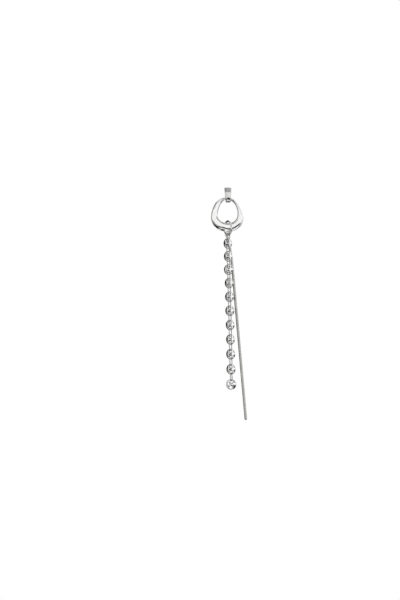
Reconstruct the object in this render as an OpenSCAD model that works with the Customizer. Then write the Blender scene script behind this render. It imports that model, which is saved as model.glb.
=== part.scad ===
// Drop earring in polished metal. A bent stud carries an irregular hoop, and a jump ring round
// the foot of the hoop carries a chain of two-hole discs and a longer snake chain.
// The origin is where the ear post leaves the back of the stud. +X is to the right as seen from
// the front, +Y runs back along the post and +Z is up.

/* [Stud] */
// Width of the bent band across its top
stud_top_w = 3.1; // [2.8:0.1:3.4]
// Width of the band at its lowest point
stud_low_w = 2.0; // [1.8:0.1:2.2]
// Depth of the bent loop from its front to its back
stud_depth = 4.2; // [4.1:0.1:4.5]
// Thickness of the band
stud_wall = 0.7; // [0.55:0.05:0.75]
// Height of the band above the middle of the post
stud_rise = 1.1; // [1:0.1:1.4]
// Reach of the loop below the middle of the post
stud_drop = 5.3; // [5.2:0.1:5.6]
// Diameter of the ear post
post_d = 0.8; // [0.7:0.05:1]
// Straight length of the ear post
post_len = 10; // [8:0.5:12]

/* [Hoop] */
// Width of the hoop from side to side
hoop_w = 13.6; // [13.4:0.1:14]

/* [Jump ring] */
// Outer diameter of the jump ring
jump_d = 6.5; // [6.4:0.1:6.8]
// Diameter of the jump ring's wire
jump_wire = 0.8; // [0.7:0.05:0.8]
// Turn of the jump ring out of the plane of the hoop, its right side forwards
jump_turn = 60; // [56:1:64]

/* [Disc chain] */
// Diameter of a disc
disc_d = 4.5; // [4.3:0.1:4.7]
// Thickness of a disc at its middle
disc_t = 1.2; // [1:0.1:1.3]
// Diameter of each of a disc's two holes
hole_d = 1.1; // [1:0.05:1.2]
// Distance of a hole from the middle of its disc
hole_place = 1.25; // [1.2:0.05:1.3]
// Mean distance from one disc to the next
disc_pitch = 5.92; // [5.8:0.04:6.2]
// How much longer each distance between discs is than the one above it
pitch_growth = 0.105; // [0:0.005:0.11]
// Diameter of the wire of the small links
link_wire = 0.4; // [0.35:0.05:0.45]
// Outer width of a small link
link_w = 2.0; // [1.95:0.05:2.1]

/* [Snake chain] */
// Diameter of the snake chain
snake_d = 1.1; // [1:0.05:1.2]
// Length of one cup of the snake chain with the gap below it
snake_pitch = 0.86; // [0.84:0.02:0.92]
// Number of cups in the snake chain
snake_count = 84; // [60:1:95]
// Slope of the hanging snake chain to the right, as a share of its drop
snake_slope = 0.088; // [0.07:0.002:0.1]
// Diameter of the end cap that holds the snake chain
cap_d = 1.3; // [1.2:0.05:1.4]
// Length of the end cap below its loop
cap_len = 4.3; // [4:0.1:4.6]

/* [Hidden] */
$fn = 48;
gap = 0.1;
DISC_NAMES = ["disc_01", "disc_02", "disc_03", "disc_04", "disc_05", "disc_06",
    "disc_07", "disc_08", "disc_09", "disc_10", "disc_11"];
LINK_NAMES = ["link_01", "link_02", "link_03", "link_04", "link_05", "link_06",
    "link_07", "link_08", "link_09", "link_10", "link_11"];

// Corner radii of the bent band, seen from the side outside and inside, and from the front
edge_r = 0.5;
inner_edge_r = 0.3;
front_edge_r = 0.4;
// Depth of the flat top before the band slopes down to its front, and height of that slope
roof_flat = 1.0;
roof_fall = 1.65;
// How far the band's top edge is arched, and how much lower its front face is at its sides
top_arch = 0.12;
front_crown_r = 3.9;
stud_r = stud_depth / 2;

// The hoop's top bar lies this far above the inside of the stud's bend
bar_lift = 0.97;
// Shape of the hoop: angle from +X towards +Z, inner and outer radius about the hoop's middle,
// depth from front to back, and width of the bevels along its outer edge
ANGLE = 0;
INNER = 1;
OUTER = 2;
DEPTH = 3;
BEVEL = 4;
HOOP = [
    [0, 4.20, 6.33, 1.60, 0.60],
    [15, 4.27, 5.95, 1.50, 0.50],
    [30, 4.43, 5.90, 1.45, 0.50],
    [45, 4.72, 6.03, 1.35, 0.50],
    [60, 5.18, 6.33, 1.25, 0.45],
    [75, 5.58, 6.60, 1.15, 0.42],
    [90, 5.82, 6.72, 1.10, 0.40],
    [105, 5.74, 6.85, 1.15, 0.45],
    [120, 5.15, 6.88, 1.30, 0.50],
    [135, 4.60, 6.82, 1.50, 0.60],
    [150, 4.27, 6.62, 1.60, 0.60],
    [165, 4.14, 6.58, 1.70, 0.55],
    [180, 4.12, 6.80, 1.75, 0.50],
    [195, 4.13, 7.17, 1.80, 0.45],
    [210, 4.11, 7.52, 1.90, 0.65],
    [225, 4.05, 7.67, 2.00, 0.85],
    [240, 3.97, 7.65, 2.00, 1.05],
    [255, 3.93, 7.68, 2.05, 1.45],
    [270, 3.95, 7.74, 2.05, 1.25],
    [285, 4.05, 7.68, 2.00, 1.00],
    [300, 4.20, 7.66, 1.90, 1.15],
    [315, 4.29, 7.55, 1.85, 0.90],
    [330, 4.30, 7.28, 1.75, 0.65],
    [345, 4.25, 6.83, 1.70, 0.60]
];
hoop_k = hoop_w / 13.6;
HOOP_TOP = 6;
HOOP_FOOT = 18;
section_steps = 3;
// The section is a smooth curve led by twelve corners, with this many points at each corner
corner_count = 12;
corner_points = 2;
section_points = corner_count * corner_points;
// Width of the bevels along the inner edge, but never more than this share of the hoop's width,
// and height of the inner edge face as a share of the hoop's depth
inner_bevel = 0.5;
inner_share = 0.45;
inner_face = 0.45;
// Fall of the outer bevels for their width, least height of the outer edge face as a share of the
// depth, and how far from its crease a bevel begins to curve
bevel_fall = 0.7;
outer_face = 0.1;
crease_lead = 1.0;

// Where the hoop hangs: the middle of its top bar is the axis of its swing
swing_y = -stud_r;
swing_z = -stud_drop + stud_wall + bar_lift;
hoop_x = -0.2;
hoop_z = swing_z - hoop_k * (HOOP[HOOP_TOP][INNER] + HOOP[HOOP_TOP][OUTER]) / 2;

// The jump ring hangs from the foot of the hoop
jump_x = -0.05;
jump_rise = 0.34;
jump_r = (jump_d - jump_wire) / 2;
jump_z = hoop_z - hoop_k * HOOP[HOOP_FOOT][INNER] + jump_rise - (jump_r - jump_wire / 2);
// What hangs on the jump ring keeps this gap above its wire
hang_gap = 0.15;
// Places along the jump ring of the disc chain, in front, and the snake chain, behind
disc_hang = 0.55;
cap_hang = -0.75;

// Turn of each disc about the vertical, its right edge forwards, and lean of its top to the right
TURN = 0;
LEAN = 1;
DISCS = [
    [40, -2], [38, -2], [30, -1], [38, -2], [36, -1], [34, -1],
    [37, -1], [37, 0], [34, -1], [33, 1], [17, 8]
];
rim_r = disc_t / 4;
dome_steps = 240;
link_r = (link_w - link_wire) / 2;
leg_swell = 0.005;
leg_lap = 0.05;
// The mouths of the holes widen at 45 degrees from this distance off the disc's middle plane
mouth_start = 0.12;
// All links are alike: they have play in the holes, which makes the distances between discs vary
link_len = disc_pitch - 2 * hole_place;
chain_top_z = foot_of_jump(disc_hang)[2] + (jump_wire + link_wire) / 2 + hang_gap;
disc_z = chain_top_z - link_len - reach(0);
// The disc chain bows a little to the right and is pushed forwards by the end cap at its top
disc_x = -0.13;
disc_drift = 0.2;
disc_bow = 0.0056;
disc_y = -2.45;
disc_push = 0.3;
push_fade = 1.5;

// Radius of the end cap's loop, its middle, and the cap's way down
loop_r = link_r;
cap_start = foot_of_jump(cap_hang) + [0, 0, (jump_wire + link_wire) / 2 + hang_gap - loop_r];
cap_way = [0.215, 0.07, -1];
cap_foot = cap_start + cap_way * (cap_len + loop_r);
// The snake chain bends from the cap's way to its own slope over this length
bend_len = 3.3;

// A cup of the snake chain: wall, neck and head below it, and the mouth in its top
cup_wall = 0.12;
cup_len = snake_pitch - gap;
neck_r = 0.12;
head_r = 0.33;
mouth_r = neck_r + gap;

// Points where a wire hangs from the jump ring, at a distance along it from its lowest point
function foot_of_jump(s) = [
    jump_x + s * cos(jump_turn),
    swing_y - s * sin(jump_turn),
    jump_z - sqrt(jump_r * jump_r - s * s)
];

// Distance of link k's wire from the middle of the discs that it holds: link k hangs above disc k
// and the first two links sit alike
function reach(k) = hole_place + pitch_growth * (max(k, 1) - len(DISCS) / 2) / 2;

// Middle of disc k, counted from 0, and the way up within its plane
function disc_middle(k) = [
    disc_x + disc_drift * k - disc_bow * k * k,
    disc_y - disc_push * exp(-k / push_fade),
    disc_z - disc_pitch * k - pitch_growth * k * (k + 1 - len(DISCS)) / 2
];
function disc_up(k) = [
    sin(DISCS[k][LEAN]) * cos(DISCS[k][TURN]),
    -sin(DISCS[k][LEAN]) * sin(DISCS[k][TURN]),
    cos(DISCS[k][LEAN])
];

// Ends and turn of link k: the first hangs on the jump ring, the others on the disc above
function link_top(k) = k == 0
    ? [foot_of_jump(disc_hang)[0], foot_of_jump(disc_hang)[1], chain_top_z]
    : disc_middle(k - 1) - reach(k) * disc_up(k - 1);
function link_foot(k) = disc_middle(k) + reach(k) * disc_up(k);
function link_turn(k) = ((k == 0 ? jump_turn : DISCS[k - 1][TURN]) + DISCS[k][TURN]) / 2;

// The snake chain's centre line at a depth below the foot of the cap, and its direction there
function snake_at(t) = [
    cap_foot[0] + snake_slope * t + bend_len * (cap_way[0] - snake_slope) * (1 - exp(-t / bend_len)),
    cap_foot[1] + bend_len * cap_way[1] * (1 - exp(-t / bend_len)),
    cap_foot[2] - t
];
function snake_way(t) = [
    snake_slope + (cap_way[0] - snake_slope) * exp(-t / bend_len),
    cap_way[1] * exp(-t / bend_len),
    -1
];

// Smooth curve through a column of the hoop's table, u counted in rows
function row(i) = HOOP[(i + len(HOOP)) % len(HOOP)];
function spline(a, b, c, d, f) =
    b + f * (c - a + f * (2 * a - 5 * b + 4 * c - d + f * (3 * b - a - 3 * c + d))) / 2;
function hoop_value(u, col) = let (i = floor(u))
    spline(row(i - 1)[col], row(i)[col], row(i + 1)[col], row(i + 2)[col], u - i);

// Corners of the hoop's section from its outer edge over the front, as radius and depth
function section_corners(u) = let (
    inner = hoop_value(u, INNER),
    outer = hoop_value(u, OUTER),
    half = hoop_value(u, DEPTH) / 2,
    bevel = hoop_value(u, BEVEL),
    ledge = inner + min(inner_bevel, inner_share * (outer - inner)),
    crease = outer - bevel,
    edge = max(outer_face * half, half - bevel_fall * bevel),
    front = [
        [outer, edge],
        [outer - bevel / 2, (edge + half) / 2],
        [crease, half],
        [crease - min(crease_lead, (crease - ledge) / 2), half],
        [ledge, half],
        [inner, inner_face * half]
    ]
) concat(front, [for (i = [len(front) - 1 : -1 : 0]) [front[i][0], -front[i][1]]]);

// Point of the hoop: u counts rows round the hoop and v counts corners round its section.
// The curve touches the middle of each side between two corners.
function hoop_point(u, v) = let (
    corners = section_corners(u),
    i = floor(v),
    f = v - i,
    before = corners[i],
    here = corners[(i + 1) % corner_count],
    after = corners[(i + 2) % corner_count],
    p = ((1 - f) * (1 - f) * (before + here) + f * f * (here + after)) / 2 + 2 * f * (1 - f) * here,
    angle = u * 360 / len(HOOP)
) [hoop_x + hoop_k * p[0] * cos(angle), swing_y - p[1], hoop_z + hoop_k * p[0] * sin(angle)];

// Unit normal of an edge, to the right of its direction
function normal(a, b) = let (d = (b - a) / norm(b - a)) [d[1], -d[0]];
// Outline moved inwards, for a convex outline that runs anticlockwise
function inset(p, by) = [
    for (i = [0 : len(p) - 1])
        let (
            before = normal(p[(i + len(p) - 1) % len(p)], p[i]),
            after = normal(p[i], p[(i + 1) % len(p)])
        )
        p[i] - by * (before + after) / (1 + before * after)
];

// Convex outline with round corners about the given points, which run anticlockwise
module rounded(p, r) {
    polygon([
        for (i = [0 : len(p) - 1])
            for (end = [p[i], p[(i + 1) % len(p)]])
                end + r * normal(p[i], p[(i + 1) % len(p)])
    ]);
    for (corner = p) translate(corner) circle(r);
}

// Turns the vertical on to a hanging direction without twisting it, and moves it to a point
module hang(at, way) {
    up = -way / norm(way);
    azimuth = atan2(up[1], up[0]);
    translate(at) rotate([0, acos(up[2]), azimuth]) rotate([0, 0, -azimuth]) children();
}

// Round ring of wire standing in the XZ plane
module wire_ring(r, wire) {
    rotate([90, 0, 0]) rotate_extrude() translate([r, 0]) circle(d = wire);
}

// Side view of the stud's loop, drawn with the depth along x and the height along y
stud_corners = [
    [-stud_depth + edge_r, -stud_drop + stud_r],
    [-edge_r, -stud_drop + stud_r],
    [-edge_r, stud_rise - edge_r],
    [-edge_r - roof_flat, stud_rise - edge_r],
    [-stud_depth + edge_r, stud_rise - edge_r - roof_fall]
];
module bend(r) {
    translate([-stud_r, -stud_drop + stud_r]) {
        circle(r);
        translate([-r, 0]) square([2 * r, r / 2]);
    }
}
module stud_side() {
    difference() {
        union() {
            rounded(stud_corners, edge_r);
            bend(stud_r);
        }
        rounded(inset(stud_corners, stud_wall - edge_r + inner_edge_r), inner_edge_r);
        bend(stud_r - stud_wall);
    }
}

// Front view of the stud's loop: it tapers down to its bend
module stud_front() {
    rounded([
        [-stud_low_w / 2 + front_edge_r, -stud_drop],
        [stud_low_w / 2 - front_edge_r, -stud_drop],
        [stud_top_w / 2 - front_edge_r, stud_rise - top_arch - front_edge_r],
        [0, stud_rise - front_edge_r],
        [-stud_top_w / 2 + front_edge_r, stud_rise - top_arch - front_edge_r]
    ], front_edge_r);
}

module ear_stud() {
    color("silver") union() {
        intersection() {
            rotate([90, 0, 90]) linear_extrude(stud_top_w * 2, center = true) stud_side();
            rotate([90, 0, 0]) linear_extrude(stud_depth * 4, center = true) stud_front();
            translate([0, front_crown_r - stud_depth, 0])
                cylinder(r = front_crown_r, h = 4 * stud_drop, center = true);
        }
        rotate([-90, 0, 0]) translate([0, 0, -stud_wall / 2])
            cylinder(d = post_d, h = post_len + stud_wall / 2);
        translate([0, post_len, 0]) sphere(d = post_d);
    }
}

module hoop() {
    rings = len(HOOP) * section_steps;
    color("gainsboro") polyhedron(
        points = [
            for (i = [0 : rings - 1])
                for (j = [0 : section_points - 1])
                    hoop_point(i / section_steps, j / corner_points)
        ],
        faces = [
            for (i = [0 : rings - 1])
                for (j = [0 : section_points - 1])
                    let (
                        this_ring = i * section_points,
                        next_ring = (i + 1) % rings * section_points,
                        next_j = (j + 1) % section_points
                    )
                    each [
                        [this_ring + j, this_ring + next_j, next_ring + next_j],
                        [this_ring + j, next_ring + next_j, next_ring + j]
                    ]
        ]
    );
}

module jump_ring() {
    color("silver") translate([jump_x, swing_y, jump_z]) rotate([0, 0, -jump_turn])
        wire_ring(jump_r, jump_wire);
}

// Long ring of wire in the XZ plane, its length taken between the middles of the end wires.
// The legs are a hair thicker than the bends and reach into them, so that all is one solid.
module oval_link(length) {
    straight = length - 2 * link_r;
    for (side = [0, 180])
        rotate([0, side, 0]) {
            translate([0, 0, straight / 2]) rotate([90, 0, 0])
                rotate_extrude(angle = 180) translate([link_r, 0]) circle(d = link_wire);
            translate([link_r, 0, 0])
                cylinder(d = link_wire + 2 * leg_swell, h = straight + 2 * leg_lap, center = true);
        }
}

module link(k) {
    top = link_top(k);
    foot = link_foot(k);
    color("darkgray") hang((top + foot) / 2, foot - top) rotate([0, 0, 90 - link_turn(k)])
        oval_link(norm(foot - top));
}

// Puffed disc with a round edge, standing in the XZ plane with its holes above each other
module two_hole_disc() {
    dome_run = disc_d / 2 - rim_r;
    dome_rise = disc_t / 2 - rim_r;
    dome_r = (dome_run * dome_run + dome_rise * dome_rise) / (2 * dome_rise);
    rotate([90, 0, 0]) difference() {
        rotate_extrude() {
            translate([dome_run, 0]) circle(r = rim_r);
            intersection() {
                translate([0, -disc_t / 2]) square([dome_run, disc_t]);
                translate([0, disc_t / 2 - dome_r]) circle(r = dome_r, $fn = dome_steps);
                translate([0, dome_r - disc_t / 2]) circle(r = dome_r, $fn = dome_steps);
            }
        }
        for (side = [-1, 1])
            translate([0, side * hole_place, 0]) {
                cylinder(d = hole_d, h = 2 * disc_t, center = true);
                for (face = [0, 180])
                    rotate([face, 0, 0]) translate([0, 0, mouth_start])
                        cylinder(d1 = hole_d, d2 = hole_d + 2 * disc_t, h = disc_t);
            }
    }
}

module disc(k) {
    color("lightgray") translate(disc_middle(k))
        rotate([0, 0, -DISCS[k][TURN]]) rotate([0, DISCS[k][LEAN], 0])
            two_hole_disc();
}

// Neck and head that hang below a cup or the end cap and hold the next cup
module neck_and_head() {
    neck_len = gap + cup_wall + gap;
    translate([0, 0, -neck_len]) cylinder(r = neck_r, h = neck_len + cup_wall / 2);
    translate([0, 0, -neck_len - cup_wall]) cylinder(r = head_r, h = cup_wall);
}

module chain_cap() {
    shoulder = cap_d / 3;
    color("silver") hang(cap_start, cap_way) {
        rotate([0, 0, 90 - jump_turn]) wire_ring(loop_r, link_wire);
        length = norm(cap_foot - cap_start);
        translate([0, 0, -length]) {
            cylinder(d = cap_d, h = length - loop_r - shoulder);
            translate([0, 0, length - loop_r - shoulder])
                cylinder(d1 = cap_d, d2 = link_wire * 2, h = shoulder);
            neck_and_head();
        }
    }
}

// One cup, its top at the origin: a wall with a mouth in its top, and a floor
module cup() {
    translate([0, 0, -cup_len]) difference() {
        cylinder(d = snake_d, h = cup_len);
        translate([0, 0, cup_wall]) cylinder(d = snake_d - 2 * cup_wall, h = cup_len - 2 * cup_wall);
        translate([0, 0, cup_len / 2]) cylinder(r = mouth_r, h = cup_len);
    }
}

// Round end below the last cup
module end_dome() {
    rotate_extrude() intersection() {
        circle(d = snake_d);
        translate([0, -snake_d]) square(snake_d);
    }
}

module snake_chain() {
    color("gray") for (k = [0 : snake_count - 1]) {
        t = gap + k * snake_pitch;
        hang(snake_at(t), snake_way(t + cup_len / 2)) {
            cup();
            translate([0, 0, -cup_len])
                if (k < snake_count - 1) neck_and_head();
                else end_dome();
        }
    }
}

ear_stud();
hoop();
jump_ring();
chain_cap();
snake_chain();
for (k = [0 : len(DISCS) - 1]) disc(k);
for (k = [0 : len(DISCS) - 1]) link(k);
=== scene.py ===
"""Drop earring in polished silver: a bent stud, an irregular hoop, a jump ring, a chain of
two-hole discs and a snake chain. Lengths are in millimetres until a mesh is made."""

import math

import bmesh
import bpy
import numpy as np
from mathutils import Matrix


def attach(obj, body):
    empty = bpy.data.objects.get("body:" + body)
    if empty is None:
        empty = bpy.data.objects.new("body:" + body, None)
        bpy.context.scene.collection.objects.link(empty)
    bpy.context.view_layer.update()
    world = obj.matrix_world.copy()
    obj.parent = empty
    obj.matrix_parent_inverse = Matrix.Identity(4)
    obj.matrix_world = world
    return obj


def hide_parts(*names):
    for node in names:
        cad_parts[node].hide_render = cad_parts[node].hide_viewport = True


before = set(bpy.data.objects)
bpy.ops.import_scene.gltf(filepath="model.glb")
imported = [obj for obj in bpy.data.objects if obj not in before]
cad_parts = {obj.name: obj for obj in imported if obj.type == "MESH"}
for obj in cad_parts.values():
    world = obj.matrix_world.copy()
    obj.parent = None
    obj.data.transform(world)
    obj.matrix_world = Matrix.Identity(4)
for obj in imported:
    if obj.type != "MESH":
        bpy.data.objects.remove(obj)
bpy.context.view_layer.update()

MM = 0.001
UP = np.array([0.0, 0.0, 1.0])

# The photograph: 400 by 600 pixels, at 0.42 mm a pixel where the earring hangs, and the pixel
# where the origin lies
MM_PER_PIXEL = 0.42
PHOTO_W, PHOTO_H = 400, 600
ORIGIN_PX = (228.1, 190.0)
CAMERA_DISTANCE, CLIP_START = 1000.0, 10.0
SENSOR = 36.0

# Stud: a band bent into a closed loop with a sloping roof
STUD_TOP_W, STUD_LOW_W = 3.1, 2.0
STUD_DEPTH, STUD_WALL = 4.2, 0.7
STUD_RISE, STUD_DROP = 1.1, 5.3
EDGE_R, INNER_EDGE_R, FRONT_EDGE_R = 0.5, 0.3, 0.4
ROOF_FLAT, ROOF_FALL = 1.0, 1.65
ROOF_RUN = STUD_DEPTH - 2 * EDGE_R - ROOF_FLAT
STUD_R = STUD_DEPTH / 2
# Fall of the outer face towards the band's edges, as a share of its wall, and the power that
# squares a circle into the band's section
BAND_CROWN, BAND_POWER = 0.16, 0.5

# Ear post; a ring of points at POST_HOLD keeps the shading of its fillet short
POST_D, POST_LEN, POST_FILLET, POST_HOLD = 0.8, 10.0, 0.25, 0.6

# Hoop: angle from +X towards +Z, inner and outer radius, depth, width of the outer bevels
ANGLE, INNER, OUTER, DEPTH, BEVEL = range(5)
HOOP = np.array([
    (0, 4.20, 6.33, 1.60, 0.60),
    (15, 4.27, 5.95, 1.50, 0.50),
    (30, 4.43, 5.90, 1.45, 0.50),
    (45, 4.72, 6.03, 1.35, 0.50),
    (60, 5.18, 6.33, 1.25, 0.45),
    (75, 5.58, 6.60, 1.15, 0.42),
    (90, 5.82, 6.72, 1.10, 0.40),
    (105, 5.74, 6.85, 1.15, 0.45),
    (120, 5.15, 6.88, 1.30, 0.50),
    (135, 4.60, 6.82, 1.50, 0.60),
    (150, 4.27, 6.62, 1.60, 0.60),
    (165, 4.14, 6.58, 1.70, 0.55),
    (180, 4.12, 6.80, 1.75, 0.50),
    (195, 4.13, 7.17, 1.80, 0.45),
    (210, 4.11, 7.52, 1.90, 0.65),
    (225, 4.05, 7.67, 2.00, 0.85),
    (240, 3.97, 7.65, 2.00, 1.05),
    (255, 3.93, 7.68, 2.05, 1.45),
    (270, 3.95, 7.74, 2.05, 1.25),
    (285, 4.05, 7.68, 2.00, 1.00),
    (300, 4.20, 7.66, 1.90, 1.15),
    (315, 4.29, 7.55, 1.85, 0.90),
    (330, 4.30, 7.28, 1.75, 0.65),
    (345, 4.25, 6.83, 1.70, 0.60),
])
HOOP_TOP = HOOP[HOOP[:, ANGLE] == 90][0]
HOOP_FOOT = HOOP[HOOP[:, ANGLE] == 270][0]
# Inner bevels: their width, and the most of the hoop's width that they take
INNER_BEVEL, INNER_SHARE = 0.5, 0.45
# Share of the depth that is left at the inner edge, and the least that is left at the outer edge
INNER_FACE, OUTER_FACE = 0.45, 0.1
# Fall of the outer bevels for each millimetre of width, and how far before them the face turns
BEVEL_FALL, CREASE_LEAD = 0.7, 1.0
# The drop swings about the middle of the hoop's top bar, which hangs in the bend of the stud
BAR_LIFT = 0.97
SWING_Y = -STUD_R
SWING_Z = -STUD_DROP + STUD_WALL + BAR_LIFT
HOOP_X = -0.2
HOOP_Z = SWING_Z - (HOOP_TOP[INNER] + HOOP_TOP[OUTER]) / 2

# Jump ring, turned by JUMP_TURN degrees; its inner top is JUMP_RISE above the hoop's inner foot
JUMP_D, JUMP_WIRE, JUMP_TURN = 6.5, 0.8, 60.0
JUMP_X, JUMP_RISE = -0.05, 0.34
JUMP_R = (JUMP_D - JUMP_WIRE) / 2
JUMP_Z = HOOP_Z - HOOP_FOOT[INNER] + JUMP_RISE - (JUMP_R - JUMP_WIRE / 2)
JUMP_MIDDLE = np.array([JUMP_X, SWING_Y, JUMP_Z])
# Places of the disc chain and the cap along the ring's plane, and their gap above its wire
DISC_HANG, CAP_HANG, HANG_GAP = 0.55, -0.75, 0.15

# Disc chain: turn of each disc about the vertical and lean of its top to the right, in degrees
TURN, LEAN = range(2)
DISCS = [
    (40, -2), (38, -2), (30, -1), (38, -2), (36, -1), (34, -1),
    (37, -1), (37, 0), (34, -1), (33, 1), (17, 8),
]
DISC_D = 4.5
# Its face falls as a power of the distance from its middle, and ends at RIM_SLOPE in a round rim
RIM_R, RIM_SLOPE, FACE_POWER = 0.3, 25.5, 3
HOLE_D, HOLE_PLACE = 1.1, 1.25
# Mouths of its holes: half thickness at the hole, slope, rounding of the corner above, and width
# of the rolled edge
MOUTH_START, MOUTH_SLOPE, MOUTH_BLEND, MOUTH_ROLL = 0.15, 40.0, 0.1, 0.08
DISC_PITCH, PITCH_GROWTH = 5.92, 0.105
LINK_WIRE, LINK_W = 0.4, 2.0
LINK_R = (LINK_W - LINK_WIRE) / 2
LINK_LEN = DISC_PITCH - 2 * HOLE_PLACE
# The chain drifts to the right in a slight bow, and its first discs are pushed to the front
DISC_X, DISC_DRIFT, DISC_BOW = -0.13, 0.2, 0.0056
DISC_Y, DISC_PUSH, PUSH_FADE = -2.45, 0.3, 1.5

# End cap of the snake chain; a ring of points at a share CAP_HOLD of its length keeps the shading
# of its crown short
CAP_D, CAP_LEN, CAP_HOLD = 1.3, 4.3, 0.6
CAP_WAY = np.array([0.215, 0.07, -1.0])
CAP_CROWN_R, CAP_CROWN_LEN, CAP_OVERLAP = 0.2, 0.5, 0.05
CAP_BEVEL_W, CAP_BEVEL_LEN = 0.08, 0.1

# Snake chain, which bends from the cap's way to its own slope over BEND_LEN
SNAKE_D, SNAKE_PITCH, SNAKE_COUNT, SNAKE_SLOPE = 1.1, 0.86, 84, 0.088
BEND_LEN, SNAKE_GAP, SNAKE_TUCK = 3.3, 0.1, 0.4
# A point this much further down gives the chain's direction
SNAKE_STEP = 0.01
# Outline of a cup: distance from its top as a share of the pitch, width as a share of the chain's
CUP = [
    (0.0, 0.94), (0.06, 0.97), (0.14, 0.99), (0.3, 1.0),
    (0.5, 1.0), (0.7, 1.0), (0.86, 0.99), (0.94, 0.97),
]
# Height of the saddles as a share of the pitch, and how many cups they take to grow from each end
SADDLE, SADDLE_FADE = 0.12, 2

# Floor: fades out between two shares of its radius
FLOOR_Z, FLOOR_R = -250.0, 300.0
FADE_START, FADE_END = 0.3, 0.98
FLOOR_GRAY, FLOOR_ROUGHNESS = 0.9, 0.8

# Numbers of points: along arcs and straight stretches, and round wires, bars and turned shapes
STUD_ARC, STUD_FLAT, BAND_SIDES = 24, 14, 40
POST_ARC, POST_SIDES = 8, 32
HOOP_AROUND, HOOP_PER_CORNER = 360, 6
JUMP_AROUND, JUMP_SIDES = 180, 32
DISC_RIM_RAYS, DISC_MIDDLE_RAYS, DISC_RINGS = 65, 41, 29
LINK_ARC, LINK_LEG, LINK_SIDES = 33, 12, 16
CAP_ARC, CAP_SIDES = 10, 40
LOOP_AROUND, LOOP_SIDES = 72, 20
SNAKE_END_ARC, SNAKE_SIDES = 9, 32
FLOOR_SIDES = 96


# Places


def unit(v):
    return np.asarray(v, float) / np.linalg.norm(v)


def turned(degrees):
    """Right and back of something turned about the vertical."""
    turn = math.radians(degrees)
    right = np.array([math.cos(turn), -math.sin(turn), 0.0])
    back = np.array([math.sin(turn), math.cos(turn), 0.0])
    return right, back


def back_square_to(axis, degrees):
    """Back of something turned about the vertical, made square to an axis."""
    back = turned(degrees)[1]
    return unit(back - back.dot(axis) * axis)


def circle(count):
    """Angles of points spread evenly round a circle."""
    return np.linspace(0, 2 * math.pi, count, endpoint=False)


def foot_of_jump(s):
    """Lowest middle of the jump ring's wire at a distance s along the ring's own plane."""
    return JUMP_MIDDLE + s * turned(JUMP_TURN)[0] - math.sqrt(JUMP_R ** 2 - s ** 2) * UP


HANG_RISE = (JUMP_WIRE + LINK_WIRE) / 2 + HANG_GAP
CHAIN_TOP = foot_of_jump(DISC_HANG) + HANG_RISE * UP
CAP_START = foot_of_jump(CAP_HANG) + (HANG_RISE - LINK_R) * UP
CAP_FOOT = CAP_START + CAP_WAY * (CAP_LEN + LINK_R)


def reach(k):
    """Distance of link k's wire from the middle of the discs that it holds."""
    return HOLE_PLACE + PITCH_GROWTH * (max(k, 1) - len(DISCS) / 2) / 2


def disc_middle(k):
    return np.array([
        DISC_X + DISC_DRIFT * k - DISC_BOW * k * k,
        DISC_Y - DISC_PUSH * math.exp(-k / PUSH_FADE),
        CHAIN_TOP[2] - LINK_LEN - reach(0) - DISC_PITCH * k
        - PITCH_GROWTH * k * (k + 1 - len(DISCS)) / 2,
    ])


def disc_axes(k):
    """Right, back and up of disc k: turned about the vertical, then leaned in its own plane."""
    right, back = turned(DISCS[k][TURN])
    lean = math.radians(DISCS[k][LEAN])
    up = math.sin(lean) * right + math.cos(lean) * UP
    return np.cross(back, up), back, up


def link_ends(k):
    """Top and foot of link k, in the middle of its wire, and its turn about the vertical."""
    foot = disc_middle(k) + reach(k) * disc_axes(k)[2]
    if k == 0:
        return CHAIN_TOP, foot, (JUMP_TURN + DISCS[0][TURN]) / 2
    top = disc_middle(k - 1) - reach(k) * disc_axes(k - 1)[2]
    return top, foot, (DISCS[k - 1][TURN] + DISCS[k][TURN]) / 2


def snake_at(t):
    """Middle of the snake chain at a depth t below the cap's foot."""
    bent = BEND_LEN * (1 - np.exp(-t / BEND_LEN))
    return np.stack([
        CAP_FOOT[0] + SNAKE_SLOPE * t + (CAP_WAY[0] - SNAKE_SLOPE) * bent,
        CAP_FOOT[1] + CAP_WAY[1] * bent,
        CAP_FOOT[2] - t,
    ], axis=-1)


# Shader nodes


def node_of(tree, kind, **values):
    n = tree.nodes.new(kind)
    for key, value in values.items():
        setattr(n, key, value)
    return n


def noise(tree, place, size, detail):
    """Clouds of a size in millimetres."""
    n = node_of(tree, "ShaderNodeTexNoise")
    n.inputs["Scale"].default_value = 1 / (size * MM)
    n.inputs["Detail"].default_value = detail
    tree.links.new(place, n.inputs["Vector"])
    return n.outputs["Fac"]


def bump(tree, height, strength, depth):
    """Relief from clouds, with its depth in millimetres."""
    n = node_of(tree, "ShaderNodeBump")
    n.inputs["Strength"].default_value = strength
    n.inputs["Distance"].default_value = depth * MM
    tree.links.new(height, n.inputs["Height"])
    return n


def mapped(tree, value, low, high, at_low, at_high, style="LINEAR"):
    """Turns the range from low to high into the range from at_low to at_high."""
    n = node_of(tree, "ShaderNodeMapRange", interpolation_type=style)
    tree.links.new(value, n.inputs["Value"])
    n.inputs["From Min"].default_value = low
    n.inputs["From Max"].default_value = high
    n.inputs["To Min"].default_value = at_low
    n.inputs["To Max"].default_value = at_high
    return n.outputs["Result"]


def calc(tree, operation, *values):
    """One step of arithmetic on numbers and outputs."""
    n = node_of(tree, "ShaderNodeMath", operation=operation)
    for value, socket in zip(values, n.inputs):
        if hasattr(value, "links"):
            tree.links.new(value, socket)
        else:
            socket.default_value = value
    return n.outputs[0]


# Materials

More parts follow.
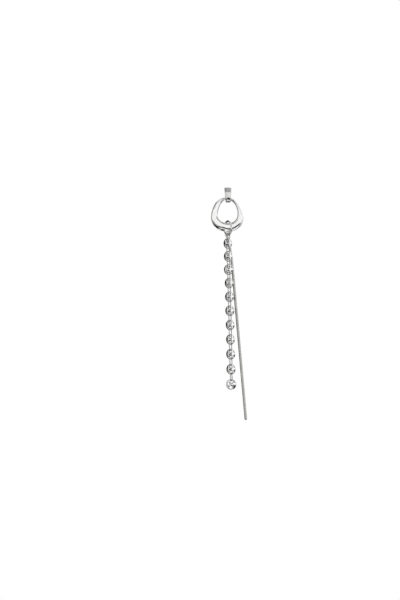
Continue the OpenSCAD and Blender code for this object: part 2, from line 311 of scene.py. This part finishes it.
# Part of the clouds' range that changes the gloss, roughness at its ends as a share of the whole,
# how much finer the polishing marks are than the clouds, their depth, and the detail of both
CLOUDS_LOW, CLOUDS_HIGH = 0.35, 0.7
GLOSSIEST, DULLEST = 0.8, 1.3
MARKS_FINER, MARKS_DEPTH = 6, 0.01
CLOUDS_DETAIL, MARKS_DETAIL = 4.0, 3.0


def polished(name, colour, shade, roughness, grain, marks, dents=None):
    """Polished metal: faint clouds in its colour and gloss, and fine marks from polishing.
    grain is the size of the clouds in millimetres, marks the strength of the marks, and dents
    the size and depth of soft dents in millimetres."""
    m = bpy.data.materials.new(name)
    m.use_nodes = True
    t = m.node_tree
    shader = t.nodes["Principled BSDF"]
    shader.inputs["Metallic"].default_value = 1.0
    place = node_of(t, "ShaderNodeTexCoord").outputs["Object"]
    clouds = noise(t, place, grain, CLOUDS_DETAIL)
    tint = node_of(t, "ShaderNodeMixRGB")
    tint.inputs["Color1"].default_value = (*colour, 1)
    tint.inputs["Color2"].default_value = (*shade, 1)
    t.links.new(clouds, tint.inputs["Fac"])
    t.links.new(tint.outputs["Color"], shader.inputs["Base Color"])
    gloss = mapped(t, clouds, CLOUDS_LOW, CLOUDS_HIGH, roughness * GLOSSIEST, roughness * DULLEST)
    t.links.new(gloss, shader.inputs["Roughness"])
    fine = noise(t, place, grain / MARKS_FINER, MARKS_DETAIL)
    relief = bump(t, fine, marks, MARKS_DEPTH)
    t.links.new(relief.outputs["Normal"], shader.inputs["Normal"])
    if dents:
        size, depth = dents
        hammered = bump(t, noise(t, place, size, 0.0), 1.0, depth)
        t.links.new(hammered.outputs["Normal"], relief.inputs["Normal"])
    return m


SILVER = polished("polished_silver", (0.98, 0.977, 0.973), (0.82, 0.817, 0.812),
                  roughness=0.1, grain=2.0, marks=0.05, dents=(2.4, 0.16))
# The stud's silver is painted darker than the hoop's: painted shade over the whole stud.
STUD_SILVER_PAINTED_SHADE = polished("stud_silver_painted_shade", (0.82, 0.817, 0.812), (0.72, 0.717, 0.712),
                       roughness=0.22, grain=1.0, marks=0.2)
DISC_SILVER = polished("disc_silver", (0.96, 0.957, 0.953), (0.9, 0.897, 0.893),
                       roughness=0.06, grain=1.2, marks=0.08)
RING_SILVER = polished("ring_silver", (0.95, 0.945, 0.94), (0.85, 0.845, 0.84),
                       roughness=0.2, grain=0.8, marks=0.15)
# The links' silver is painted about half as bright as the hoop's: painted shade, standing in for
# the shade where they pass through the discs' holes.
LINK_SILVER_PAINTED_SHADE = polished("link_silver", (0.5, 0.495, 0.49), (0.4, 0.395, 0.39),
                       roughness=0.12, grain=0.8, marks=0.15)
# The snake chain's silver is painted darker than the hoop's: painted shade over the whole chain.
SNAKE_SILVER_PAINTED_SHADE = polished("snake_silver", (0.66, 0.65, 0.63), (0.59, 0.58, 0.56),
                        roughness=0.32, grain=1.6, marks=0.1)


# Meshes

# Distance within which points are joined
WELD = 1e-4
# A direction that no axis of a turned shape follows
LATHE_HINT = (0, 1, 0.3)


def grid(points, closed=False):
    """Points and faces of a stack of rings; closed joins the last ring to the first."""
    rings, count = points.shape[:2]
    faces = []
    for i in range(rings if closed else rings - 1):
        here, below = i * count, (i + 1) % rings * count
        for j in range(count):
            after = (j + 1) % count
            faces.append((here + j, here + after, below + after, below + j))
    return points.reshape(-1, 3), faces


def joined(*parts):
    """Points and faces of several parts as one."""
    points, faces = [], []
    for part_points, part_faces in parts:
        start = len(points)
        points.extend(part_points)
        faces.extend(tuple(start + i for i in face) for face in part_faces)
    return np.array(points), faces


def wire_ring(path, radius, sides, flat):
    """Round wire along a closed flat path; flat is the direction square to its plane."""
    ahead = np.roll(path, -1, axis=0) - np.roll(path, 1, axis=0)
    ahead /= np.linalg.norm(ahead, axis=1, keepdims=True)
    side = np.cross(ahead, flat)
    side /= np.linalg.norm(side, axis=1, keepdims=True)
    up = np.cross(side, ahead)
    a = circle(sides)[:, None]
    around = np.cos(a) * side[:, None] + np.sin(a) * up[:, None]
    return grid(path[:, None] + radius * around, closed=True)


def lathe(profile, sides, start, way):
    """Turns a profile of (distance along, radius) about an axis from start along way."""
    way = unit(way)
    side = unit(np.cross(way, LATHE_HINT))
    other = np.cross(way, side)
    a = circle(sides)[:, None]
    along, radius = (np.array(v)[:, None, None] for v in zip(*profile))
    return grid(start + along * way + radius * (np.cos(a) * side + np.sin(a) * other))


def weld(mesh):
    """Joins points that coincide and turns every face outwards."""
    b = bmesh.new()
    b.from_mesh(mesh)
    bmesh.ops.remove_doubles(b, verts=b.verts, dist=WELD * MM)
    bmesh.ops.recalc_face_normals(b, faces=b.faces)
    b.to_mesh(mesh)
    b.free()


def new_object(name, points, faces):
    """A mesh object from points in millimetres."""
    mesh = bpy.data.meshes.new(name)
    mesh.from_pydata((points * MM).tolist(), [], faces)
    obj = bpy.data.objects.new(name, mesh)
    bpy.context.collection.objects.link(obj)
    return obj


def piece(name, points, faces, nodes, body, slot, material):
    """A smooth welded mesh that stands for some CAD nodes."""
    obj = new_object(name, points, faces)
    weld(obj.data)
    obj.data.polygons.foreach_set("use_smooth", [True] * len(obj.data.polygons))
    obj.data.materials.append(material)
    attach(obj, body)
    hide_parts(*nodes)


# Stud


def rounded_outline(corners, arc_steps, flat_steps):
    """Outline round corners (y, z, radius) that run anticlockwise, with straight lines between."""
    count = len(corners)
    starts = []
    for i in range(count):
        (y, z, r), (next_y, next_z, next_r) = corners[i], corners[(i + 1) % count]
        tilt = math.asin((r - next_r) / math.hypot(next_y - y, next_z - z))
        starts.append(math.atan2(next_z - z, next_y - y) - math.pi / 2 + tilt)
    points = []
    for i in range(count):
        y, z, r = corners[i]
        first, last = starts[i - 1], starts[i]
        while last < first:
            last += 2 * math.pi
        for a in np.linspace(first, last, arc_steps):
            points.append((y + r * math.cos(a), z + r * math.sin(a)))
        y, z, r = corners[(i + 1) % count]
        flat = np.linspace(points[-1], (y + r * math.cos(last), z + r * math.sin(last)),
                           flat_steps + 2)
        points.extend(flat[1:-1])
    return np.array(points)


def stud_corners():
    """Round corners of the band's outer and inner outline, one wall apart."""
    bend = (-STUD_R, -STUD_DROP + STUD_R)
    outer = [
        (*bend, STUD_R),
        (-EDGE_R, STUD_RISE - EDGE_R, EDGE_R),
        (-EDGE_R - ROOF_FLAT, STUD_RISE - EDGE_R, EDGE_R),
        (-STUD_DEPTH + EDGE_R, STUD_RISE - EDGE_R - ROOF_FALL, EDGE_R),
    ]
    top = STUD_RISE - STUD_WALL - INNER_EDGE_R
    back = -STUD_WALL - INNER_EDGE_R
    front = -STUD_DEPTH + STUD_WALL + INNER_EDGE_R
    inward = (STUD_WALL + INNER_EDGE_R - EDGE_R) * unit((ROOF_FALL, -ROOF_RUN))
    roof_y = -EDGE_R - ROOF_FLAT + inward[0]
    roof_z = STUD_RISE - EDGE_R + inward[1]
    slope = ROOF_FALL / ROOF_RUN
    inner = [
        (*bend, STUD_R - STUD_WALL),
        (back, top, INNER_EDGE_R),
        (roof_y + (top - roof_z) / slope, top, INNER_EDGE_R),
        (front, roof_z + (front - roof_y) * slope, INNER_EDGE_R),
    ]
    return outer, inner


def stud_half_width(z):
    """Half the band's width at a height: a straight taper with round corners at the top."""
    share = np.clip((z + STUD_DROP) / (STUD_DROP + STUD_RISE), 0, 1)
    taper = (STUD_LOW_W + (STUD_TOP_W - STUD_LOW_W) * share) / 2
    above = np.clip(z - (STUD_RISE - FRONT_EDGE_R), 0, FRONT_EDGE_R)
    return taper - (FRONT_EDGE_R - np.sqrt(FRONT_EDGE_R ** 2 - above ** 2))


def squared(v):
    return np.sign(v) * np.abs(v) ** BAND_POWER


def stud_band():
    outer, inner = (rounded_outline(corners, STUD_ARC, STUD_FLAT) for corners in stud_corners())
    a = circle(BAND_SIDES)
    across, through = squared(np.cos(a)), squared(np.sin(a))
    crown = BAND_CROWN * np.clip(through, 0, 1) * across ** 2
    share = (1 + through) / 2 - crown
    yz = inner[:, None] + (outer - inner)[:, None] * share[None, :, None]
    x = stud_half_width(yz[..., 1]) * across
    return grid(np.stack([x, yz[..., 0], yz[..., 1]], axis=-1), closed=True)


def ear_post():
    r, fillet = POST_D / 2, POST_FILLET
    turns = np.linspace(0, math.pi / 2, POST_ARC)
    profile = [(-STUD_WALL / 2, 0.0), (-STUD_WALL / 2, r + fillet)]
    profile += [(fillet * (1 - math.cos(v)), r + fillet * (1 - math.sin(v))) for v in turns]
    profile += [(POST_HOLD, r), (POST_LEN / 2, r), (POST_LEN, r)]
    profile += [(POST_LEN + r * math.sin(v), max(r * math.cos(v), 0.0)) for v in turns[1:]]
    return lathe(profile, POST_SIDES, np.zeros(3), (0, 1, 0))


def make_stud():
    # The stud gets the silver that is painted darker, as painted shade.
    piece("stud_band", *joined(stud_band(), ear_post()), ["ear_stud"], "stud", "polished_silver",
          STUD_SILVER_PAINTED_SHADE)


# Hoop


def spline(u, column):
    """Closed Catmull-Rom curve through a column of the hoop's table, u counted in rows."""
    i = np.floor(u).astype(int)
    f = u - i
    a, b, c, d = (HOOP[(i + n) % len(HOOP), column] for n in (-1, 0, 1, 2))
    return b + f * (c - a + f * (2 * a - 5 * b + 4 * c - d + f * (3 * b - a - 3 * c + d))) / 2


def make_hoop():
    """A smooth closed curve led by twelve corners, swept round the hoop's table."""
    u = np.arange(HOOP_AROUND) * len(HOOP) / HOOP_AROUND
    inner, outer, depth, bevel = (spline(u, column) for column in (INNER, OUTER, DEPTH, BEVEL))
    half = depth / 2
    ledge = inner + np.minimum(INNER_BEVEL, INNER_SHARE * (outer - inner))
    crease = outer - bevel
    edge = np.maximum(OUTER_FACE * half, half - BEVEL_FALL * bevel)
    front = [
        (outer, edge),
        (outer - bevel / 2, (edge + half) / 2),
        (crease, half),
        (crease - np.minimum(CREASE_LEAD, (crease - ledge) / 2), half),
        (ledge, half),
        (inner, INNER_FACE * half),
    ]
    corners = np.array(front + [(r, -y) for r, y in reversed(front)])
    f = np.arange(HOOP_PER_CORNER)[:, None] / HOOP_PER_CORNER
    section = []
    for i in range(len(corners)):
        before, here, after = (corners[(i + n) % len(corners)][:, None] for n in range(3))
        section.append(((1 - f) ** 2 * (before + here) + f ** 2 * (here + after)) / 2
                       + 2 * f * (1 - f) * here)
    r, y = np.concatenate(section, axis=1)
    angle = u * 2 * math.pi / len(HOOP)
    points = np.stack([HOOP_X + r * np.cos(angle), SWING_Y - y, HOOP_Z + r * np.sin(angle)],
                      axis=-1).transpose(1, 0, 2)
    piece("hoop_cast", *grid(points, closed=True), ["hoop"], "drop", "polished_silver", SILVER)


# Jump ring


def make_jump_ring():
    right, back = turned(JUMP_TURN)
    a = circle(JUMP_AROUND)[:, None]
    path = JUMP_MIDDLE + JUMP_R * (np.cos(a) * right + np.sin(a) * UP)
    piece("jump_ring_wire", *wire_ring(path, JUMP_WIRE / 2, JUMP_SIDES, back), ["jump_ring"],
          "drop", "link_silver", RING_SILVER)


# Disc chain


def dome(r):
    """Half a disc's thickness at a distance from its middle."""
    steep = math.radians(RIM_SLOPE)
    rim_start = DISC_D / 2 - RIM_R + RIM_R * math.sin(steep)
    fall = rim_start * math.tan(steep) / FACE_POWER
    face = RIM_R * math.cos(steep) + fall * (1 - (r / rim_start) ** FACE_POWER)
    rim = np.sqrt(np.clip(RIM_R ** 2 - (r - DISC_D / 2 + RIM_R) ** 2, 0, None))
    return np.where(r < rim_start, face, rim)


def smaller(a, b, blend):
    """The smaller of two heights, the corner between them rounded over a length."""
    return (a + b - np.sqrt((a - b) ** 2 + blend ** 2)) / 2


def rolled(gap, width):
    """Share of the full height at a distance from a rolled edge."""
    return np.sqrt(1 - (1 - np.clip(gap / width, 0, 1)) ** 2)


def disc_half():
    """Half a disc's face: places in its plane, in rings out from its hole, and heights there."""
    radius, hole = DISC_D / 2, HOLE_D / 2
    corner = math.atan2(-HOLE_PLACE, radius)
    to_rim = np.linspace(corner, math.pi - corner, DISC_RIM_RAYS)
    across = -radius * np.cos(np.linspace(0, math.pi, DISC_MIDDLE_RAYS)[1:-1])
    to_middle = np.arctan2(-HOLE_PLACE, across) + 2 * math.pi
    a = np.concatenate([to_rim, to_middle])
    ray = np.stack([np.cos(a), np.sin(a)], axis=-1)
    # Each ray runs from the hole's middle to the rim, or to the line between the holes
    length = -HOLE_PLACE * ray[:, 1] + np.sqrt(radius ** 2 - (HOLE_PLACE * ray[:, 0]) ** 2)
    length[len(to_rim):] = HOLE_PLACE / -ray[len(to_rim):, 1]
    share = (1 - np.cos(np.linspace(0, math.pi, DISC_RINGS))) / 2
    dist = hole + share[:, None] * (length - hole)
    plane = np.stack([dist * ray[:, 0], HOLE_PLACE + dist * ray[:, 1]], axis=-1)
    hole_gap = np.clip(dist - hole, 0, None)
    mouth = MOUTH_START + hole_gap * math.tan(math.radians(MOUTH_SLOPE))
    height = smaller(dome(np.linalg.norm(plane, axis=-1)), mouth, MOUTH_BLEND)
    return plane, height * rolled(hole_gap, MOUTH_ROLL)


def make_disc(k):
    plane, height = disc_half()
    right, back, up = disc_axes(k)
    parts = []
    for half in (1, -1):
        for face in (1, -1):
            points = (disc_middle(k) + plane[..., :1] * right + half * plane[..., 1:] * up
                      + face * height[..., None] * back)
            parts.append(grid(points))
    name = f"disc_{k + 1:02d}"
    piece(f"{name}_puffed", *joined(*parts), [name], "drop", "disc_silver", DISC_SILVER)


def make_link(k):
    top, foot, turn = link_ends(k)
    length = np.linalg.norm(foot - top)
    up = (top - foot) / length
    level = back_square_to(up, turn)
    straight = length / 2 - LINK_R
    a = np.linspace(0, math.pi, LINK_ARC)
    bend = np.stack([LINK_R * np.cos(a), straight + LINK_R * np.sin(a)], axis=-1)
    down = np.linspace(straight, -straight, LINK_LEG)[1:-1]
    leg = np.stack([np.full(len(down), -LINK_R), down], axis=-1)
    half = np.concatenate([bend, leg])
    oval = np.concatenate([half, -half])
    path = (top + foot) / 2 + oval[:, :1] * level + oval[:, 1:] * up
    name = f"link_{k + 1:02d}"
    # The wire gets the silver that is painted darker, as painted shade.
    piece(f"{name}_wire", *wire_ring(path, LINK_WIRE / 2, LINK_SIDES, np.cross(level, up)),
          [name], "drop", "link_silver", LINK_SILVER_PAINTED_SHADE)


# Snake chain and its end cap


def make_cap():
    """A barrel with a round crown, sunk a little into the loop that it hangs by."""
    length = np.linalg.norm(CAP_FOOT - CAP_START)
    top, r = LINK_R - CAP_OVERLAP, CAP_D / 2
    profile = [(top, 0.0)]
    profile += [(top + CAP_CROWN_LEN * (1 - math.cos(v)),
                 CAP_CROWN_R + (r - CAP_CROWN_R) * math.sin(v))
                for v in np.linspace(0, math.pi / 2, CAP_ARC)]
    profile += [(length * CAP_HOLD, r), (length - CAP_BEVEL_LEN, r),
                (length, r - CAP_BEVEL_W), (length, 0.0)]
    barrel = lathe(profile, CAP_SIDES, CAP_START, CAP_WAY)
    down = unit(CAP_WAY)
    level = back_square_to(down, JUMP_TURN)
    a = circle(LOOP_AROUND)[:, None]
    path = CAP_START + LINK_R * (np.cos(a) * level + np.sin(a) * down)
    loop = wire_ring(path, LINK_WIRE / 2, LOOP_SIDES, np.cross(level, down))
    piece("cap_shell", *joined(barrel, loop), ["chain_cap"], "drop", "link_silver",
          RING_SILVER)


def make_snake():
    """The cups of the chain are bent like saddles, so that the seams between them are waves."""
    radius = SNAKE_D / 2
    rings = [(-SNAKE_TUCK, 0.0, 0.0)]
    for k in range(SNAKE_COUNT):
        for along, share in CUP:
            to_end = min(k, SNAKE_COUNT - 1 - k - along)
            sway = SADDLE * SNAKE_PITCH * np.clip(to_end / SADDLE_FADE, 0, 1)
            rings.append((SNAKE_GAP + (k + along) * SNAKE_PITCH, share * radius, sway))
    foot = SNAKE_COUNT * SNAKE_PITCH
    for v in np.linspace(0, math.pi / 2, SNAKE_END_ARC):
        rings.append((foot + radius * math.sin(v), radius * math.cos(v), 0.0))
    t, r, sway = (np.array(v)[:, None] for v in zip(*rings))
    a = circle(SNAKE_SIDES)
    depth = t + sway * np.cos(2 * a)
    middle = snake_at(depth)
    ahead = snake_at(depth + SNAKE_STEP) - middle
    ahead /= np.linalg.norm(ahead, axis=-1, keepdims=True)
    side = np.cross(ahead, (0.0, 1.0, 0.0))
    side /= np.linalg.norm(side, axis=-1, keepdims=True)
    other = np.cross(ahead, side)
    points = middle + r[..., None] * (np.cos(a)[:, None] * side + np.sin(a)[:, None] * other)
    # The chain gets the silver that is painted darker, as painted shade.
    piece("snake_scales", *grid(points), ["snake_chain"], "drop", "snake_silver", SNAKE_SILVER_PAINTED_SHADE)


# Camera


def make_camera():
    data = bpy.data.cameras.new("camera")
    obj = bpy.data.objects.new("camera", data)
    bpy.context.collection.objects.link(obj)
    data.sensor_width = SENSOR
    data.lens = SENSOR * CAMERA_DISTANCE / (PHOTO_H * MM_PER_PIXEL)
    data.clip_start = CLIP_START * MM
    x = (PHOTO_W / 2 - ORIGIN_PX[0]) * MM_PER_PIXEL
    z = (ORIGIN_PX[1] - PHOTO_H / 2) * MM_PER_PIXEL
    obj.location = (x * MM, (SWING_Y - CAMERA_DISTANCE) * MM, z * MM)
    obj.rotation_euler = (math.pi / 2, 0, 0)
    bpy.context.scene.camera = obj


# Studio

# What the metal sees, over a white base. A level patch is placed by its azimuth from the camera's
# side, with minus to the left, and its elevation. A ring patch is placed by its clock angle about
# the line to the camera, 0 to the right and -90 below, and its angle from that line.
# Each patch: kind, middle, half widths, soft edge in degrees, brightness.
STUDIO = [
    ("level", (0, -22), (100, 16), 8, 0.78),
    ("level", (-132.5, 0), (50.5, 62), 7, 0.01),
    ("level", (-66.5, 0), (5, 50), 4, 0.12),
    ("level", (10, 36), (45, 22), 8, 0.3),
    ("level", (-110, -49), (80, 18), 8, 0.01),
    ("ring", (-90, 124), (95, 34), 10, 0.1),
    ("ring", (-152, 22), (15, 15), 8, 0.0),
    ("ring", (-106, 26), (17, 20), 8, 0.0),
    ("ring", (-59, 34), (31, 27), 8, 0.0),
    ("ring", (-45, 83), (16, 9), 6, 0.0),
    ("level", (0, 90), (180, 28), 14, 0.40),
]


def studio_light(t):
    """Brightness that the metal sees in each direction."""
    way = node_of(t, "ShaderNodeSeparateXYZ")
    t.links.new(node_of(t, "ShaderNodeTexCoord").outputs["Generated"], way.inputs[0])
    x, y, z = way.outputs
    toward = calc(t, "MULTIPLY", y, -1.0)
    angles = {
        "level": [calc(t, "DEGREES", calc(t, "ARCTAN2", x, toward)),
                  calc(t, "DEGREES", calc(t, "ARCSINE", z))],
        "ring": [calc(t, "DEGREES", calc(t, "ARCTAN2", z, x)),
                 calc(t, "DEGREES", calc(t, "ARCCOSINE", toward))],
    }
    light = 1.0
    for kind, middles, halves, soft, value in STUDIO:
        mask = 1.0
        for angle, middle, half in zip(angles[kind], middles, halves):
            off = calc(t, "ABSOLUTE", calc(t, "SUBTRACT", angle, float(middle)))
            inside = mapped(t, off, half - soft / 2, half + soft / 2, 1.0, 0.0, "SMOOTHSTEP")
            mask = calc(t, "MULTIPLY", mask, inside)
        change = calc(t, "SUBTRACT", float(value), light)
        light = calc(t, "ADD", light, calc(t, "MULTIPLY", mask, change))
    return light


def make_studio():
    """A world that is plain white for the camera and patched for the metal."""
    world = bpy.data.worlds.new("studio")
    bpy.context.scene.world = world
    world.use_nodes = True
    t = world.node_tree
    t.nodes.clear()
    seen = node_of(t, "ShaderNodeBackground")
    seen.inputs["Color"].default_value = (1, 1, 1, 1)
    lit = node_of(t, "ShaderNodeBackground")
    lit.inputs["Color"].default_value = (1, 1, 1, 1)
    t.links.new(studio_light(t), lit.inputs["Strength"])
    mix = node_of(t, "ShaderNodeMixShader")
    t.links.new(node_of(t, "ShaderNodeLightPath").outputs["Is Camera Ray"], mix.inputs["Fac"])
    t.links.new(lit.outputs[0], mix.inputs[1])
    t.links.new(seen.outputs[0], mix.inputs[2])
    t.links.new(mix.outputs[0], node_of(t, "ShaderNodeOutputWorld").inputs["Surface"])
    view = bpy.context.scene.view_settings
    view.view_transform = "Standard"
    view.look = "None"


# Floor


def floor_material():
    """Pale and dull, fading out towards the floor's edge."""
    m = bpy.data.materials.new("pale_floor")
    m.use_nodes = True
    t = m.node_tree
    shader = t.nodes["Principled BSDF"]
    shader.inputs["Base Color"].default_value = (FLOOR_GRAY, FLOOR_GRAY, FLOOR_GRAY, 1)
    shader.inputs["Roughness"].default_value = FLOOR_ROUGHNESS
    flat = node_of(t, "ShaderNodeVectorMath", operation="MULTIPLY")
    flat.inputs[1].default_value = (1, 1, 0)
    t.links.new(node_of(t, "ShaderNodeTexCoord").outputs["Object"], flat.inputs[0])
    far = node_of(t, "ShaderNodeVectorMath", operation="LENGTH")
    t.links.new(flat.outputs["Vector"], far.inputs[0])
    radius = FLOOR_R * MM
    fade = mapped(t, far.outputs["Value"], FADE_START * radius, FADE_END * radius, 0.0, 1.0,
                  "SMOOTHSTEP")
    clear = node_of(t, "ShaderNodeBsdfTransparent")
    mix = node_of(t, "ShaderNodeMixShader")
    t.links.new(fade, mix.inputs["Fac"])
    t.links.new(shader.outputs[0], mix.inputs[1])
    t.links.new(clear.outputs[0], mix.inputs[2])
    t.links.new(mix.outputs[0], t.nodes["Material Output"].inputs["Surface"])
    return m


def make_floor():
    """A round floor well below the earring, which the metal doesn't reflect."""
    a = circle(FLOOR_SIDES)
    rim = np.stack([np.cos(a), np.sin(a), np.zeros(len(a))], axis=-1)
    rings = np.array([FLOOR_R, 0.0])[:, None, None] * rim + FLOOR_Z * UP
    obj = new_object("floor", *grid(rings))
    obj.visible_glossy = False
    obj.data.materials.append(floor_material())


make_camera()
make_stud()
make_hoop()
make_jump_ring()
for k in range(len(DISCS)):
    make_disc(k)
    make_link(k)
make_cap()
make_snake()
make_studio()
make_floor()
